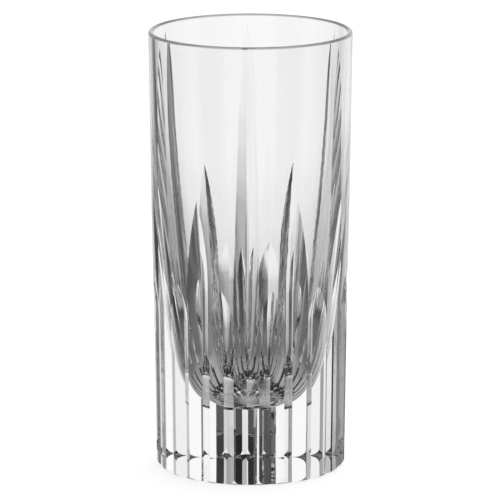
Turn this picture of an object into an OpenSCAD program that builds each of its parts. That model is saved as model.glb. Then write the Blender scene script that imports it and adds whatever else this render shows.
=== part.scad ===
// Vodka glass: one casting of clear crystal with a heavy solid foot.
// Pointed mitre cuts run up the wall from the foot and end at three heights.
// The foot stands on z = 0 and the axis of the glass is the z axis. Sizes are in millimetres.

/* [Blank] */
// Height from the foot to the top of the lip
glass_h = 100; // [95:0.5:110]
// Outer diameter at the lip
lip_d = 45.9; // [45:0.1:50]
// Outer diameter at the foot
foot_d = 43.1; // [42:0.1:46]
// Thickness of the wall at the lip, whose top is rounded
lip_t = 1.2; // [1.2:0.1:2]
// Rounding of the heel, the outer edge of the foot
heel_r = 1.8; // [0.8:0.1:2.4]

/* [Cavity] */
// Thickness of the solid foot under the cavity
foot_t = 14.7; // [13:0.1:20]
// Height of the shoulder, under which the thin wall grows thicker
shoulder_z = 82; // [76:0.5:88]
// Inner radius at the shoulder
shoulder_r = 21.1; // [20.5:0.1:21.2]
// Height of the waist, under which the cavity rounds in to its floor
waist_z = 40; // [34:0.5:46]
// Inner radius at the waist
waist_r = 17.6; // [16.5:0.1:18]
// Slope of the wall at the waist, in degrees from upright
waist_slope = 6.5; // [4:0.5:10]
// How far the rounding follows the slope of the waist; more makes a fuller cavity
waist_reach = 24; // [16:0.5:25]
// How far the rounding follows the level of the floor; more makes a flatter one
floor_reach = 12; // [8:0.5:14]

/* [Cuts] */
// Sectors round the glass; each has a long, a short, a medium and a short cut
sectors = 6; // [5:1:8]
// Turn of the whole pattern about the axis, in degrees
pattern_turn = -0.4; // [-7:0.1:7]
// Slack of the indexing, in degrees: it moves the cuts at the front and at the back to the same side
index_slack = 2; // [0:1:3]
// Included angle of the V that the wheel grinds, in degrees
wheel_angle = 124; // [116:1:132]
// Height of the points of the long cuts
long_tip = 98; // [90:0.5:98]
// Height of the points of the medium cuts
medium_tip = 65; // [56:0.5:72]
// Height of the points of the short cuts
short_tip = 45; // [40:0.5:52]
// Height over which a long cut runs out to its point
long_run = 57; // [40:1:70]
// Height over which a medium cut runs out to its point
medium_run = 21; // [14:1:30]
// Height over which a short cut runs out to its point
short_run = 9; // [7:0.5:14]
// Height of the round nose at the point of a long cut
long_nose = 15; // [10:1:30]

/* [Hidden] */
$fn = 180;
lip_r = lip_d / 2;
foot_r = foot_d / 2;
lip_z = glass_h - lip_t / 2;
pitch = 360 / (4 * sectors);
half_angle = wheel_angle / 2;
// Neighbouring cuts meet in a ridge this far under the skin of the blank
ridge_drop = 0.05;
// Radius of the bottom of a full cut, as a share of the radius of the ridges beside it
valley_share = cos(pitch / 2) - sin(pitch / 2) / tan(half_angle);
// Share of the depth that the wheel's round nose gives; the rest grows evenly down the run-out
long_nose_share = 0.36;
medium_nose_share = 0.65;
short_nose_share = 1;
// The three kinds of cut: height of the point, run-out, nose and the nose's share of the depth
long_cut = [long_tip, long_run, long_nose, long_nose_share];
medium_cut = [medium_tip, medium_run, medium_run, medium_nose_share];
short_cut = [short_tip, short_run, short_run, short_nose_share];
// Straight steps in the run-out of a cut, closer together towards its point, and in each curve of the cavity
run_steps = 10;
run_spread = 1.5;
cavity_steps = 14;
// How far the cutters reach past the glass, and past the point of a cut as a share of its run-out
cutter_reach = 4;
past_tip = 0.08;
// Turn of the blank that keeps the start of its round skin off the bottom of a cut, in degrees
seam_turn = 4;

// Outer radius of the uncut blank at height z
function blank_r(z) = foot_r + (lip_r - foot_r) * z / lip_z;

// Depth of a full cut at height z
function full_depth(z) = blank_r(z) - valley_share * (blank_r(z) - ridge_drop);

// Share of the full depth at a distance below the point of a cut; above the point it is negative
function depth_share(below, run, nose, share) =
    below < 0
        ? below * (2 * share / nose + (1 - share) / run)
        : share * (1 - pow(1 - min(below, nose) / nose, 2)) + (1 - share) * min(below, run) / run;

// Radius of the bottom of a cut at height z
function valley_r(z, cut) = blank_r(z) - full_depth(z) * depth_share(cut[0] - z, cut[1], cut[2], cut[3]);

// Point on a cubic curve with the handles h
function curve(h, t) =
    h[0] * pow(1 - t, 3) + h[1] * 3 * pow(1 - t, 2) * t + h[2] * 3 * (1 - t) * pow(t, 2) + h[3] * pow(t, 3);

// Half of the section of the blank, right of the axis
module blank_section() {
    polygon([
        [0, 0],
        [foot_r - heel_r, 0],
        [foot_r - heel_r, heel_r],
        [blank_r(heel_r), heel_r],
        [lip_r, lip_z],
        [0, lip_z]
    ]);
    translate([foot_r - heel_r, heel_r])
        circle(r = heel_r);
    translate([lip_r - lip_t / 2, lip_z])
        circle(d = lip_t);
}

// Half of the section of the cavity, right of the axis: wall, shoulder, waist and floor
module cavity_section() {
    inner_r = lip_r - lip_t;
    shoulder = [shoulder_r, shoulder_z];
    waist = [waist_r, waist_z];
    wall = shoulder - [inner_r, lip_z];
    slope = [-sin(waist_slope), -cos(waist_slope)];
    third = norm(waist - shoulder) / 3;
    upper = [shoulder, shoulder + wall * third / norm(wall), waist - slope * third, waist];
    lower = [waist, waist + slope * waist_reach, [floor_reach, foot_t], [0, foot_t]];
    polygon(concat(
        [[0, glass_h + cutter_reach], [inner_r, glass_h + cutter_reach], [inner_r, lip_z]],
        [for (i = [0 : cavity_steps - 1]) curve(upper, i / cavity_steps)],
        [for (i = [0 : cavity_steps]) curve(lower, i / cavity_steps)]
    ));
}

// One side of a V cut: everything outside one face of the V, from below the foot to past the point
module cut_side(cut, turn) {
    outer = (lip_r + cutter_reach) * sin(half_angle);
    run_z = [for (i = [0 : run_steps]) cut[0] - cut[1] * pow(1 - i / run_steps, run_spread)];
    heights = concat([-cutter_reach], run_z, [cut[0] + cut[1] * past_tip]);
    rotate([0, 0, turn])
        rotate([90, 0, 0])
            linear_extrude(2 * (lip_r + cutter_reach), center = true)
                polygon(concat(
                    [for (z = heights) [valley_r(z, cut) * sin(half_angle), z]],
                    [[outer, cut[0] + cut[1] * past_tip], [outer, -cutter_reach]]
                ));
}

// The glass that one cut takes away, at an angle round the axis
module mitre_cut(angle, cut) {
    rotate([0, 0, angle])
        intersection() {
            cut_side(cut, 90 - half_angle);
            cut_side(cut, half_angle - 90);
        }
}

// Angle of a cut round the axis, counted from the front, -Y
function cut_angle(i) = i * pitch - index_slack * cos(i * pitch) - 90;

// All cuts: the four of a sector repeated round the glass
module pattern() {
    sector = [long_cut, short_cut, medium_cut, short_cut];
    for (i = [0 : 4 * sectors - 1])
        mitre_cut(cut_angle(i), sector[i % 4]);
}

module tumbler() {
    color("azure", 0.5)
        rotate([0, 0, pattern_turn])
            difference() {
                rotate([0, 0, seam_turn])
                    rotate_extrude()
                        difference() {
                            blank_section();
                            cavity_section();
                        }
                pattern();
            }
}

tumbler();
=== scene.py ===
"""Vodka glass of clear cut crystal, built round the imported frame, with a plain studio for it."""

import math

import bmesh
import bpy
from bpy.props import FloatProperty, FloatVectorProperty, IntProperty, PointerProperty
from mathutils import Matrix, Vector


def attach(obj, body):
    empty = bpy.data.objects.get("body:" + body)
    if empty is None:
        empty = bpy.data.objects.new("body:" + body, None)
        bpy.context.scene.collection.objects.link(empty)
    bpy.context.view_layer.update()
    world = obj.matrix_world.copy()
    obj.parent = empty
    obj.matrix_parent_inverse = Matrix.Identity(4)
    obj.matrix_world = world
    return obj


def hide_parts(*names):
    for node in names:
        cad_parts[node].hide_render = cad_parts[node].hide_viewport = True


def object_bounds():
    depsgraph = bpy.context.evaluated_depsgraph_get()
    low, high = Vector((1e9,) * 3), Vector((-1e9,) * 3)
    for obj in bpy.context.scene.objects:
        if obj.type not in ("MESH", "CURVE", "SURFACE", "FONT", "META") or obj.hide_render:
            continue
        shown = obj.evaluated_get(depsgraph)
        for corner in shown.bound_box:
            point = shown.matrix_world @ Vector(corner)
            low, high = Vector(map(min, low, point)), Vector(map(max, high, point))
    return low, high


bl_info = {
    "name": "Cut Crystal Vodka Glass",
    "version": (1, 0, 0),
    "blender": (4, 5, 0),
    "location": "3D View > Sidebar > Glass",
    "description": "Casts the blank, grinds the mitre cuts, polishes the crystal and sets the studio",
    "category": "Object",
}

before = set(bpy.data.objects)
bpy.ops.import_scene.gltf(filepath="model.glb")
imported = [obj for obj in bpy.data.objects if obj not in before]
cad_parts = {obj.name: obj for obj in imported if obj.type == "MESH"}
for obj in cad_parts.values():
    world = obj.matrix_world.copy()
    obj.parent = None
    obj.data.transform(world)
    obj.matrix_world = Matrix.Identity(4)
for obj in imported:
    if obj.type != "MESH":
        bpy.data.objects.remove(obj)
CAD_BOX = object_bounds()

MM = 0.001
GLASS_HEIGHT = CAD_BOX[1].z
# The round lip fits the box on all four sides, to a hundredth of a millimetre
HUNDREDTH = 0.01 * MM
REACH = min(-CAD_BOX[0].x, -CAD_BOX[0].y, CAD_BOX[1].x, CAD_BOX[1].y)
LIP_DIAMETER = math.floor(2 * REACH / HUNDREDTH) * HUNDREDTH

# Points closer than this, in metres, are one
WELD = 2e-6
# Straight steps in the rounds of the lip and of the heel
LIP_STEPS = 20
HEEL_STEPS = 10
# The four cuts of a sector: long, short, medium, short
CUTS_PER_SECTOR = 4
# The rings of a run-out stand closer together towards the point
RUN_SPREAD = 1.5
# How far a cutter reaches out of the glass, under the foot, and past the point as a share of the run-out
CUTTER_WIDTH = 8 * MM
CUTTER_BELOW = 2 * MM
PAST_TIP = 0.08
# A face of a cut is upright, with a normal at least this level, and turned this far from straight out
LEAST_LEVEL = 0.5
CUT_TURN = math.radians(10)
# Edges that bend more than this stay sharp
SHARP_ANGLE = math.radians(12)

# Marks that polishing leaves on the skin and on the facets, and the height of their relief in metres
SKIN_MARKS = {"Across": 90.0, "Along": 60.0, "Smoothest": 0.0, "Dullest": 0.006}
SKIN_RELIEF = 1e-6
FACET_MARKS = {"Across": 900.0, "Along": 60.0, "Smoothest": 0.0, "Dullest": 0.012}
FACET_RELIEF = 2e-7

# Side of the photograph in pixels, and how far the picture is shifted in it
IMAGE_SIDE = 500
SHIFT_PIXELS = (-0.45, -1.95)
SENSOR_WIDTH = 36.0
# The floor: radius in metres, facets, colour, and its share of white to the camera
FLOOR_RADIUS = 3.0
FLOOR_FACETS = 64
FLOOR_COLOUR = (0.9, 0.9, 0.9, 1.0)
FLOOR_WHITE = 0.8
# Place and turn of the softbox over the glass
SOFTBOX_PLACE = (0.1, 0.2, 1.1)
SOFTBOX_TURN = (math.radians(-8), math.radians(5), 0.0)
# Most faces of the glass that a ray of light passes
BOUNCES = 32

# All levels that follow go by angles in degrees, and a level of 1 is white
# The white wall behind the glass: level by angle to the right of straight behind, and over the horizon
BACK_STOPS = [
    (-50, 0.0), (-46, 0.02), (-38, 0.02), (-33, 0.08), (-29, 0.22), (-25, 0.4), (-22, 0.55), (-16, 0.52),
    (-11, 0.85), (-6, 1.0), (6, 1.0), (13, 0.93), (20, 1.0), (27, 0.95), (33, 0.72), (39, 0.8), (45, 0.65),
    (50, 0.0),
]
BACK_HEIGHT_STOPS = [
    (-90, 0.12), (-60, 0.18), (-45, 0.3), (-32, 0.4), (-26, 0.48), (-22, 0.62), (-19, 0.85), (-17.5, 0.94),
    (-15, 1.0), (19, 1.0), (24, 0.35), (30, 0.0),
]
# A brighter patch of the wall, left of the middle, by the same angles
UPPER_STOPS = [(-28, 0.0), (-23, 1.0), (-8, 1.0), (-4, 0.0)]
UPPER_HEIGHT_STOPS = [(-18, 0.0), (-16, 0.62), (-15, 0.74), (-13, 0.87), (-11, 0.97), (-8, 1.0), (0, 0.0)]
# The panels at the sides and in front: level by angle from straight behind, to either side alike,
# and over the horizon
SIDE_STOPS = [
    (44, 0.0), (51, 0.3), (55, 0.35), (57, 0.42), (62, 0.3), (66, 0.3), (68.5, 0.46), (70.5, 0.3),
    (72.5, 0.08), (75, 0.28), (81, 0.25), (83.5, 0.45), (85.5, 0.2), (87, 0.12), (95.5, 0.12), (97.5, 0.3),
    (107, 0.26), (113, 0.2), (118, 0.03), (122, 0.008), (146, 0.008), (152, 0.06), (157, 0.17), (165, 0.3),
    (168, 0.5), (170.3, 0.04), (180, 0.25),
]
SIDE_HEIGHT_STOPS = [(-28, 0.0), (-22, 0.08), (-19.5, 0.35), (-17, 0.9), (-15, 1.0), (19, 1.0), (25, 0.0)]
# The far part of the white table at the sides and in front, by the same angles
TABLE_STOPS = [(88, 0.0), (96, 1.0), (113, 1.0), (119, 0.2), (145, 0.2), (151, 1.0)]
TABLE_HEIGHT_STOPS = [
    (-30, 0.1), (-23, 0.45), (-20, 0.6), (-16.5, 0.6), (-14.5, 0.35), (-8, 0.35), (-4, 0.0),
]
# The room between and over all these: level by angle over the horizon
ROOM_STOPS = [
    (-90, 0.4), (-60, 0.35), (-45, 0.26), (-36, 0.13), (-28, 0.13), (-24, 0.05), (-19, 0.012), (-16, 0.006),
    (90, 0.006),
]


class GlassBlank(bpy.types.PropertyGroup):
    """Sizes of the glass as it is cast, before any cut"""

    height: FloatProperty(
        name="Height", description="From the foot to the top of the lip",
        default=GLASS_HEIGHT, unit="LENGTH"
    )
    lip_diameter: FloatProperty(
        name="Lip diameter", description="Outer diameter at the lip", default=LIP_DIAMETER, unit="LENGTH"
    )
    foot_diameter: FloatProperty(
        name="Foot diameter", description="Outer diameter at the foot", default=43.1 * MM, unit="LENGTH"
    )
    lip_thickness: FloatProperty(
        name="Lip thickness", description="Wall at the lip, whose top is round",
        default=1.2 * MM, unit="LENGTH"
    )
    heel_radius: FloatProperty(
        name="Heel radius", description="Rounding of the edge of the foot",
        default=1.8 * MM, unit="LENGTH"
    )
    steps: IntProperty(
        name="Steps", description="Facets round the axis", default=480, min=96
    )


class GlassCavity(bpy.types.PropertyGroup):
    """Sizes of the hollow that holds the drink"""

    floor_height: FloatProperty(
        name="Foot thickness", description="Solid glass under the cavity",
        default=14.7 * MM, unit="LENGTH"
    )
    shoulder_height: FloatProperty(
        name="Shoulder height", description="Where the thin wall starts to grow thicker",
        default=82.0 * MM, unit="LENGTH"
    )
    shoulder_radius: FloatProperty(
        name="Shoulder radius", description="Inner radius at the shoulder",
        default=21.1 * MM, unit="LENGTH"
    )
    waist_height: FloatProperty(
        name="Waist height", description="Where the cavity starts to round in to its floor",
        default=40.0 * MM, unit="LENGTH"
    )
    waist_radius: FloatProperty(
        name="Waist radius", description="Inner radius at the waist", default=17.6 * MM, unit="LENGTH"
    )
    waist_slope: FloatProperty(
        name="Waist slope", description="Slope of the wall at the waist",
        default=math.radians(6.5), subtype="ANGLE"
    )
    waist_reach: FloatProperty(
        name="Waist reach", description="How far the rounding follows the waist's slope",
        default=24.0 * MM, unit="LENGTH"
    )
    floor_reach: FloatProperty(
        name="Floor reach", description="How far the rounding follows the floor's level",
        default=12.0 * MM, unit="LENGTH"
    )
    steps: IntProperty(
        name="Steps", description="Rings in each curve", default=36, min=12
    )


class GlassCuts(bpy.types.PropertyGroup):
    """Sizes of the mitre cuts"""

    sectors: IntProperty(
        name="Sectors", description="Times the four cuts repeat round the glass", default=6, min=3
    )
    turn: FloatProperty(
        name="Turn", description="Turn of the whole pattern about the axis",
        default=math.radians(-0.4), subtype="ANGLE"
    )
    slack: FloatProperty(
        name="Indexing slack", description="Moves the cuts at the front and the back to the same side",
        default=math.radians(2.0), subtype="ANGLE"
    )
    wheel_angle: FloatProperty(
        name="Wheel angle", description="Included angle of the V",
        default=math.radians(124.0), subtype="ANGLE"
    )
    ridge_drop: FloatProperty(
        name="Ridge drop", description="How far under the skin neighbouring cuts meet",
        default=0.05 * MM, unit="LENGTH"
    )
    long_tip: FloatProperty(
        name="Long point", description="Height of the points of the long cuts",
        default=98.0 * MM, unit="LENGTH"
    )
    medium_tip: FloatProperty(
        name="Medium point", description="Height of the points of the medium cuts",
        default=65.0 * MM, unit="LENGTH"
    )
    short_tip: FloatProperty(
        name="Short point", description="Height of the points of the short cuts",
        default=45.0 * MM, unit="LENGTH"
    )
    long_run: FloatProperty(
        name="Long run-out", description="Height over which a long cut fades",
        default=57.0 * MM, unit="LENGTH"
    )
    medium_run: FloatProperty(
        name="Medium run-out", description="Height over which a medium cut fades",
        default=21.0 * MM, unit="LENGTH"
    )
    short_run: FloatProperty(
        name="Short run-out", description="Height over which a short cut fades",
        default=9.0 * MM, unit="LENGTH"
    )
    long_nose: FloatProperty(
        name="Long nose", description="Height of the round nose at a long cut's point",
        default=15.0 * MM, unit="LENGTH"
    )
    long_nose_share: FloatProperty(
        name="Long nose share", description="Share of a long cut's depth that its nose gives",
        default=0.36
    )
    medium_nose_share: FloatProperty(
        name="Medium nose share", description="Share of a medium cut's depth that its nose gives",
        default=0.65
    )
    short_nose_share: FloatProperty(
        name="Short nose share", description="Share of a short cut's depth that its nose gives",
        default=1.0
    )
    steps: IntProperty(
        name="Steps", description="Rings in the run-out of a cut", default=30, min=6
    )


class CrystalFinish(bpy.types.PropertyGroup):
    """Colour and polish of the crystal"""

    tint: FloatVectorProperty(
        name="Tint", description="Colour of light that has passed the glass",
        default=(0.996, 0.998, 0.998), subtype="COLOR", min=0.0, max=1.0
    )
    ior: FloatProperty(
        name="Index", description="Refractive index of the crystal", default=1.545, min=1.3, max=1.8
    )


class StudioSetup(bpy.types.PropertyGroup):
    """The camera's place and the levels of the light"""

    distance: FloatProperty(
        name="Distance", description="Level distance from the camera to the axis",
        default=1024 * MM, unit="LENGTH"
    )
    camera_height: FloatProperty(
        name="Camera height", description="Height of the camera over the floor",
        default=276.7 * MM, unit="LENGTH"
    )
    focal_pixels: FloatProperty(
        name="Focal length", description="Focal length in pixels of the photograph", default=4637.0
    )
    bright: FloatProperty(
        name="Bright field", description="Level of the brightest white that the glass shows", default=1.0
    )
    softbox_size: FloatProperty(
        name="Softbox size", description="Diameter of the softbox", default=0.8, unit="LENGTH"
    )
    softbox_power: FloatProperty(
        name="Softbox power", description="Power of the softbox in watts", default=12.0
    )


class GlassSettings(bpy.types.PropertyGroup):
    """All settings of the glass and its studio"""

    blank: PointerProperty(type=GlassBlank)
    cavity: PointerProperty(type=GlassCavity)
    cuts: PointerProperty(type=GlassCuts)
    finish: PointerProperty(type=CrystalFinish)
    studio: PointerProperty(type=StudioSetup)


def blank_radius(blank, z):
    """Outer radius of the uncut blank at a height."""
    foot = blank.foot_diameter / 2
    lip = blank.lip_diameter / 2
    return foot + (lip - foot) * z / lip_height(blank)


def lip_height(blank):
    """Height at which the round of the lip starts."""
    return blank.height - blank.lip_thickness / 2


def arc(centre_r, centre_z, radius, start, end, steps):
    """Points on a round of a profile, between two angles in degrees."""
    angles = [math.radians(start + (end - start) * i / steps) for i in range(steps + 1)]
    return [(centre_r + radius * math.cos(a), centre_z + radius * math.sin(a)) for a in angles]


def revolve(bm, profile, steps):
    """Spin a profile of (radius, height) points round the axis."""
    points = [bm.verts.new((r, 0.0, z)) for r, z in profile]
    lines = [bm.edges.new(pair) for pair in zip(points, points[1:])]
    bmesh.ops.spin(
        bm, geom=points + lines, cent=(0, 0, 0), axis=(0, 0, 1), angle=math.tau, steps=steps, use_merge=True
    )
    bmesh.ops.remove_doubles(bm, verts=bm.verts, dist=WELD)


def blank_profile(blank):
    """The blank's outline, from the middle of the foot to the middle of a flat lid inside the lip."""
    heel = blank.heel_radius
    half_lip = blank.lip_thickness / 2
    lip = blank.lip_diameter / 2
    rim = arc(lip - half_lip, lip_height(blank), half_lip, 0, 180, LIP_STEPS)
    foot = arc(blank.foot_diameter / 2 - heel, heel, heel, -90, 0, HEEL_STEPS)
    return [(0.0, 0.0)] + foot + rim + [(0.0, lip_height(blank))]


def cavity_profile(blank, cavity):
    """The cavity's outline down from the lip: a straight wall, a curve to the waist, one to the floor."""
    start = Vector((blank.lip_diameter / 2 - blank.lip_thickness, lip_height(blank)))
    shoulder = Vector((cavity.shoulder_radius, cavity.shoulder_height))
    waist = Vector((cavity.waist_radius, cavity.waist_height))
    wall = (shoulder - start).normalized()
    slope = Vector((-math.sin(cavity.waist_slope), -math.cos(cavity.waist_slope)))
    third = (waist - shoulder).length / 3
    floor = Vector((0.0, cavity.floor_height))
    upper = [shoulder, shoulder + wall * third, waist - slope * third, waist]
    lower = [waist, waist + slope * cavity.waist_reach, floor + Vector((cavity.floor_reach, 0.0)), floor]
    points = [bezier(upper, i / cavity.steps) for i in range(cavity.steps)]
    points += [bezier(lower, i / cavity.steps) for i in range(cavity.steps + 1)]
    return [tuple(start)] + [tuple(p) for p in points]


def bezier(handles, t):
    """Point on a cubic curve."""
    a, b, c, d = handles
    u = 1 - t
    return a * u**3 + b * (3 * u * u * t) + c * (3 * u * t * t) + d * t**3


def depth_share(below_tip, run, nose, nose_share):
    """Share of a cut's full depth at a distance below its point: the wheel's round nose and an even fall."""
    steady = 1 - nose_share
    if below_tip < 0:
        return below_tip * (2 * nose_share / nose + steady / run)
    round_part = 1 - (1 - min(below_tip, nose) / nose) ** 2
    return nose_share * round_part + steady * min(below_tip, run) / run


def full_depth(blank, cuts, z):
    """Depth at which neighbouring cuts meet in a ridge, just under the skin."""
    half_pitch = math.pi / (CUTS_PER_SECTOR * cuts.sectors)
    valley_share = math.cos(half_pitch) - math.sin(half_pitch) / math.tan(cuts.wheel_angle / 2)
    radius = blank_radius(blank, z)
    return radius - valley_share * (radius - cuts.ridge_drop)


def valley_path(blank, cuts, tip, run, nose, nose_share):
    """Points (radius, height) on the bottom of a cut, from below the foot to past its point."""
    drops = [run * (1 - i / cuts.steps) ** RUN_SPREAD for i in range(cuts.steps + 1)]
    heights = [-CUTTER_BELOW] + [tip - d for d in drops] + [tip + PAST_TIP * run]
    path = []
    for z in heights:
        share = depth_share(tip - z, run, nose, nose_share)
        path.append((blank_radius(blank, z) - full_depth(blank, cuts, z) * share, z))
    return path


def wheel_cut(path, wheel_angle, azimuth):
    """The glass that a wheel grinds away: a V drawn along a path."""
    side = CUTTER_WIDTH * math.tan(wheel_angle / 2)
    bm = bmesh.new()
    radius, z = path[0]
    outer = radius + CUTTER_WIDTH
    corners = [(radius, 0, z), (outer, side, z), (outer, -side, z)]
    points = [bm.verts.new(c) for c in corners]
    ring = [bm.edges.new((points[i - 1], points[i])) for i in range(len(points))]
    for (r0, z0), (r1, z1) in zip(path, path[1:]):
        made = bmesh.ops.extrude_edge_only(bm, edges=ring)["geom"]
        points = {g for g in made if isinstance(g, bmesh.types.BMVert)}
        ring = [g for g in made if isinstance(g, bmesh.types.BMEdge) and points.issuperset(g.verts)]
        bmesh.ops.translate(bm, verts=list(points), vec=(r1 - r0, 0, z1 - z0))
    bmesh.ops.holes_fill(bm, edges=[e for e in bm.edges if e.is_boundary])
    bmesh.ops.recalc_face_normals(bm, faces=bm.faces)
    bmesh.ops.rotate(bm, verts=bm.verts, cent=(0, 0, 0), matrix=Matrix.Rotation(azimuth, 3, "Z"))
    return bm


def sector_cuts(cuts):
    """The four cuts of a sector: point, run-out, nose and the share of the depth in the nose."""
    long_cut = (cuts.long_tip, cuts.long_run, cuts.long_nose, cuts.long_nose_share)
    medium_cut = (cuts.medium_tip, cuts.medium_run, cuts.medium_run, cuts.medium_nose_share)
    short_cut = (cuts.short_tip, cuts.short_run, cuts.short_run, cuts.short_nose_share)
    return [long_cut, short_cut, medium_cut, short_cut]


def as_object(name, bm):
    """A new object of the scene from a bmesh."""
    mesh = bpy.data.meshes.new(name)
    bm.to_mesh(mesh)
    bm.free()
    piece = bpy.data.objects.new(name, mesh)
    bpy.context.scene.collection.objects.link(piece)
    return piece


def grind(piece, tools):
    """Cut the tools out of a piece and return the mesh that is left, as a bmesh."""
    for tool in tools:
        cut = piece.modifiers.new(tool.name, "BOOLEAN")
        cut.operation = "DIFFERENCE"
        cut.solver = "MANIFOLD"
        cut.object = tool
    depsgraph = bpy.context.evaluated_depsgraph_get()
    bm = bmesh.new()
    bm.from_mesh(piece.evaluated_get(depsgraph).to_mesh())
    for spent in tools + [piece]:
        mesh = spent.data
        bpy.data.objects.remove(spent)
        bpy.data.meshes.remove(mesh)
    return bm


def open_lid(bm, blank):
    """Take the flat lid inside the lip away."""
    inner = blank.lip_diameter / 2 - blank.lip_thickness + WELD
    level = lip_height(blank)
    lid = [
        f for f in bm.faces
        if all(abs(v.co.z - level) < WELD and v.co.xy.length < inner for v in f.verts)
    ]
    bmesh.ops.delete(bm, geom=lid, context="FACES")


def is_cut_face(face):
    """Whether a face is upright and turned from straight out, as the sides of a V are."""
    around = face.calc_center_median().xy
    facing = face.normal.xy
    if around.length < WELD or facing.length < LEAST_LEVEL:
        return False
    return abs(around.normalized().dot(facing.normalized())) < math.cos(CUT_TURN)


def add_node(tree, kind, place, **values):
    """A node of a tree at a place, with its settings and its inputs' values."""
    node = tree.nodes.new(kind)
    node.location = place
    for name, value in values.items():
        if hasattr(node, name):
            setattr(node, name, value)
        else:
            node.inputs[name.replace("_", " ")].default_value = value
    return node


def polish_group():
    """Node group: the marks that polishing leaves, as a roughness and a height."""
    tree = bpy.data.node_groups.new("polish_marks", "ShaderNodeTree")
    face = tree.interface
    for name, default in (("Across", 400.0), ("Along", 40.0), ("Smoothest", 0.0), ("Dullest", 0.01)):
        face.new_socket(name, in_out="INPUT", socket_type="NodeSocketFloat").default_value = default
    face.new_socket("Roughness", in_out="OUTPUT", socket_type="NodeSocketFloat")
    face.new_socket("Height", in_out="OUTPUT", socket_type="NodeSocketFloat")
    start = add_node(tree, "NodeGroupInput", (-800, 0))
    end = add_node(tree, "NodeGroupOutput", (600, 0))
    place = add_node(tree, "ShaderNodeTexCoord", (-800, 250))
    scale = add_node(tree, "ShaderNodeCombineXYZ", (-600, 0))
    mapped = add_node(tree, "ShaderNodeVectorMath", (-400, 100), operation="MULTIPLY")
    marks = add_node(tree, "ShaderNodeTexNoise", (-200, 100), Scale=1.0, Detail=3.0)
    spread = add_node(tree, "ShaderNodeMapRange", (100, 100))
    link = tree.links.new
    link(start.outputs["Across"], scale.inputs["X"])
    link(start.outputs["Across"], scale.inputs["Y"])
    link(start.outputs["Along"], scale.inputs["Z"])
    link(place.outputs["Object"], mapped.inputs[0])
    link(scale.outputs["Vector"], mapped.inputs[1])
    link(mapped.outputs["Vector"], marks.inputs["Vector"])
    link(marks.outputs["Fac"], spread.inputs["Value"])
    link(start.outputs["Smoothest"], spread.inputs["To Min"])
    link(start.outputs["Dullest"], spread.inputs["To Max"])
    link(spread.outputs["Result"], end.inputs["Roughness"])
    link(marks.outputs["Fac"], end.inputs["Height"])
    return tree


def crystal(name, finish, group, marks, bump_height):
    """Clear crystal with the marks of its own polish."""
    material = bpy.data.materials.new(name)
    material.use_nodes = True
    tree = material.node_tree
    glass = tree.nodes["Principled BSDF"]
    glass.inputs["Base Color"].default_value = (*finish.tint, 1.0)
    glass.inputs["Metallic"].default_value = 0.0
    glass.inputs["IOR"].default_value = finish.ior
    glass.inputs["Transmission Weight"].default_value = 1.0
    polish = add_node(tree, "ShaderNodeGroup", (-500, 0), node_tree=group)
    for socket, value in marks.items():
        polish.inputs[socket].default_value = value
    relief = add_node(tree, "ShaderNodeBump", (-250, -150), Strength=1.0, Distance=bump_height)
    tree.links.new(polish.outputs["Roughness"], glass.inputs["Roughness"])
    tree.links.new(polish.outputs["Height"], relief.inputs["Height"])
    tree.links.new(relief.outputs["Normal"], glass.inputs["Normal"])
    return material


def crystal_materials(finish):
    """The fire-polished skin and the wheel-cut, polished facets."""
    group = polish_group()
    skin = crystal("fire_polished_crystal", finish, group, SKIN_MARKS, SKIN_RELIEF)
    facets = crystal("wheel_cut_crystal", finish, group, FACET_MARKS, FACET_RELIEF)
    return skin, facets


class GLASS_OT_tumbler(bpy.types.Operator):
    """Cast the blank, grind the mitre cuts and open the cavity"""

    bl_idname = "glass.tumbler"
    bl_label = "Tumbler"

    def execute(self, context):
        glass = context.scene.glass
        blank, cuts = glass.blank, glass.cuts
        bm = bmesh.new()
        revolve(bm, blank_profile(blank), blank.steps)
        bmesh.ops.recalc_face_normals(bm, faces=bm.faces)
        body = as_object("blank", bm)
        front = cuts.turn - math.pi / 2
        count = CUTS_PER_SECTOR * cuts.sectors
        tools = []
        for index in range(count):
            path = valley_path(blank, cuts, *sector_cuts(cuts)[index % CUTS_PER_SECTOR])
            place = index * math.tau / count
            azimuth = front + place - cuts.slack * math.cos(place)
            tools.append(as_object("wheel", wheel_cut(path, cuts.wheel_angle, azimuth)))
        context.view_layer.update()
        bm = grind(body, tools)
        open_lid(bm, blank)
        revolve(bm, cavity_profile(blank, glass.cavity), blank.steps)
        bmesh.ops.recalc_face_normals(bm, faces=bm.faces)
        if any(not edge.is_manifold for edge in bm.edges):
            raise RuntimeError("the tumbler isn't closed")
        for face in bm.faces:
            face.smooth = True
            face.material_index = int(is_cut_face(face))
        piece = as_object("crystal_tumbler", bm)
        piece.data.set_sharp_from_angle(angle=SHARP_ANGLE)
        shading = piece.modifiers.new("large_faces_lead", "WEIGHTED_NORMAL")
        shading.mode = "FACE_AREA"
        shading.weight = 100
        shading.keep_sharp = True
        for material in crystal_materials(glass.finish):
            piece.data.materials.append(material)
        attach(piece, "root")
        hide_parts("tumbler")
        return {"FINISHED"}


def angle_ramp(tree, angle, place, stops):
    """A grey ramp through (degrees, level) stops, driven by an angle in radians; returns its output."""
    low, high = stops[0][0], stops[-1][0]
    x, y = place
    span = add_node(tree, "ShaderNodeMapRange", place)
    span.inputs["From Min"].default_value = math.radians(low)
    span.inputs["From Max"].default_value = math.radians(high)
    ramp = add_node(tree, "ShaderNodeValToRGB", (x + 180, y))
    ramp.color_ramp.interpolation = "EASE"
    points = ramp.color_ramp.elements
    while len(points) < len(stops):
        points.new(0.5)
    for point, (degrees, level) in zip(points, stops):
        point.position = (degrees - low) / (high - low)
        point.color = (level, level, level, 1.0)
    tree.links.new(angle, span.inputs["Value"])
    tree.links.new(span.outputs[0], ramp.inputs[0])
    return ramp.outputs["Color"]


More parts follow.
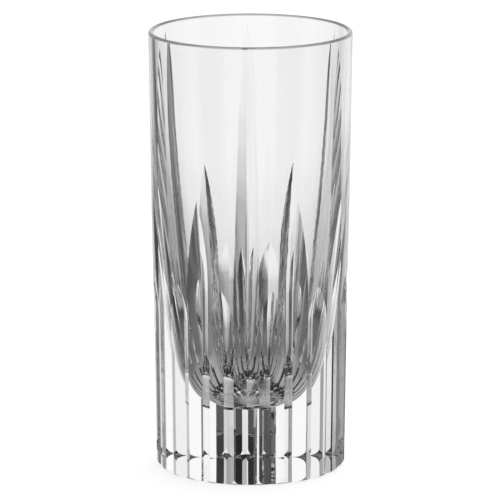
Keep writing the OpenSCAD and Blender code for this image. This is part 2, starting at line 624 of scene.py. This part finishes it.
def studio_world(studio):
    """White to the camera; to the glass, a white wall behind it, a table and dimmer panels in a dark room."""
    world = bpy.data.worlds.new("studio")
    world.use_nodes = True
    tree = world.node_tree
    link = tree.links.new
    light = tree.nodes["Background"]
    place = add_node(tree, "ShaderNodeTexCoord", (-1200, 0))
    parts = add_node(tree, "ShaderNodeSeparateXYZ", (-1000, 0))
    heading = add_node(tree, "ShaderNodeMath", (-800, 200), operation="ARCTAN2")
    aside = add_node(tree, "ShaderNodeMath", (-620, 100), operation="ABSOLUTE")
    rise = add_node(tree, "ShaderNodeMath", (-620, -150), operation="ARCSINE")
    areas = [
        (heading, BACK_STOPS, BACK_HEIGHT_STOPS),
        (heading, UPPER_STOPS, UPPER_HEIGHT_STOPS),
        (aside, SIDE_STOPS, SIDE_HEIGHT_STOPS),
        (aside, TABLE_STOPS, TABLE_HEIGHT_STOPS),
    ]
    lit = None
    for row, (angle, around, upright) in enumerate(areas):
        y = 350 - 500 * row
        area = add_node(tree, "ShaderNodeMath", (60, y), operation="MULTIPLY")
        link(angle_ramp(tree, angle.outputs[0], (-420, y), around), area.inputs[0])
        link(angle_ramp(tree, rise.outputs[0], (-420, y - 250), upright), area.inputs[1])
        if lit is None:
            lit = area
            continue
        both = add_node(tree, "ShaderNodeMath", (220, y), operation="MAXIMUM")
        link(lit.outputs[0], both.inputs[0])
        link(area.outputs[0], both.inputs[1])
        lit = both
    room = angle_ramp(tree, rise.outputs[0], (-420, -1650), ROOM_STOPS)
    shown = add_node(tree, "ShaderNodeMix", (400, 0))
    shown.inputs["B"].default_value = studio.bright
    path = add_node(tree, "ShaderNodeLightPath", (220, 400))
    through = add_node(tree, "ShaderNodeMath", (400, 300), operation="MAXIMUM")
    seen = add_node(tree, "ShaderNodeMix", (600, 200))
    seen.inputs["A"].default_value = 1.0
    link(place.outputs["Generated"], parts.inputs[0])
    link(parts.outputs["X"], heading.inputs[0])
    link(parts.outputs["Y"], heading.inputs[1])
    link(heading.outputs[0], aside.inputs[0])
    link(parts.outputs["Z"], rise.inputs[0])
    link(lit.outputs[0], shown.inputs["Factor"])
    link(room, shown.inputs["A"])
    link(path.outputs["Is Glossy Ray"], through.inputs[0])
    link(path.outputs["Is Transmission Ray"], through.inputs[1])
    link(through.outputs[0], seen.inputs["Factor"])
    link(shown.outputs[0], seen.inputs["B"])
    link(seen.outputs[0], light.inputs["Color"])
    bpy.context.scene.world = world


def floor_material():
    """Pale floor: nearly white to the camera, with the shadow of the glass."""
    material = bpy.data.materials.new("pale_floor")
    material.use_nodes = True
    tree = material.node_tree
    tree.nodes.remove(tree.nodes["Principled BSDF"])
    matt = add_node(tree, "ShaderNodeBsdfDiffuse", (-300, -100), Color=FLOOR_COLOUR)
    glow = add_node(tree, "ShaderNodeEmission", (-300, 100), Strength=1.0)
    path = add_node(tree, "ShaderNodeLightPath", (-500, 250))
    share = add_node(tree, "ShaderNodeMath", (-300, 250), operation="MULTIPLY")
    share.inputs[1].default_value = FLOOR_WHITE
    blend = add_node(tree, "ShaderNodeMixShader", (0, 0))
    tree.links.new(path.outputs["Is Camera Ray"], share.inputs[0])
    tree.links.new(share.outputs[0], blend.inputs[0])
    tree.links.new(matt.outputs[0], blend.inputs[1])
    tree.links.new(glow.outputs[0], blend.inputs[2])
    tree.links.new(blend.outputs[0], tree.nodes["Material Output"].inputs["Surface"])
    return material


class GLASS_OT_studio(bpy.types.Operator):
    """Lay the floor and set the light and the camera"""

    bl_idname = "glass.studio"
    bl_label = "Studio"

    def execute(self, context):
        scene = context.scene
        studio, blank = scene.glass.studio, scene.glass.blank
        bm = bmesh.new()
        bmesh.ops.create_circle(bm, cap_ends=True, segments=FLOOR_FACETS, radius=FLOOR_RADIUS)
        floor = as_object("floor", bm)
        floor.data.materials.append(floor_material())
        floor.visible_transmission = False
        floor.visible_glossy = False
        studio_world(studio)
        softbox = bpy.data.lights.new("softbox", "AREA")
        softbox.shape = "DISK"
        softbox.size = studio.softbox_size
        softbox.energy = studio.softbox_power
        lamp = bpy.data.objects.new("softbox", softbox)
        lamp.location = SOFTBOX_PLACE
        lamp.rotation_euler = SOFTBOX_TURN
        lamp.visible_transmission = False
        lamp.visible_glossy = False
        scene.collection.objects.link(lamp)
        view = bpy.data.cameras.new("camera")
        view.sensor_width = SENSOR_WIDTH
        view.lens = studio.focal_pixels / IMAGE_SIDE * SENSOR_WIDTH
        view.shift_x, view.shift_y = (pixels / IMAGE_SIDE for pixels in SHIFT_PIXELS)
        camera = bpy.data.objects.new("camera", view)
        camera.location = (0, -studio.distance, studio.camera_height)
        aim = Vector((0, 0, blank.height / 2)) - camera.location
        camera.rotation_euler = aim.to_track_quat("-Z", "Y").to_euler()
        scene.collection.objects.link(camera)
        scene.camera = camera
        scene.view_settings.view_transform = "Standard"
        scene.cycles.max_bounces = BOUNCES
        scene.cycles.transmission_bounces = BOUNCES
        scene.cycles.glossy_bounces = BOUNCES
        scene.cycles.caustics_reflective = False
        scene.cycles.caustics_refractive = False
        return {"FINISHED"}


class GLASS_PT_panel(bpy.types.Panel):
    """Lists the operators and the settings of the glass"""

    bl_idname = "GLASS_PT_panel"
    bl_label = "Vodka Glass"
    bl_space_type = "VIEW_3D"
    bl_region_type = "UI"
    bl_category = "Glass"

    def draw(self, context):
        for operator in (GLASS_OT_tumbler, GLASS_OT_studio):
            self.layout.operator(operator.bl_idname)
        glass = context.scene.glass
        for group in (glass.blank, glass.cavity, glass.cuts, glass.finish, glass.studio):
            box = self.layout.box()
            for name in group.__annotations__:
                box.prop(group, name)


CLASSES = (
    GlassBlank,
    GlassCavity,
    GlassCuts,
    CrystalFinish,
    StudioSetup,
    GlassSettings,
    GLASS_OT_tumbler,
    GLASS_OT_studio,
    GLASS_PT_panel,
)


def register():
    for cls in CLASSES:
        bpy.utils.register_class(cls)
    bpy.types.Scene.glass = PointerProperty(type=GlassSettings)


def unregister():
    del bpy.types.Scene.glass
    for cls in reversed(CLASSES):
        bpy.utils.unregister_class(cls)


def main():
    register()
    bpy.ops.glass.tumbler()
    bpy.ops.glass.studio()


if __name__ == "__main__":
    main()
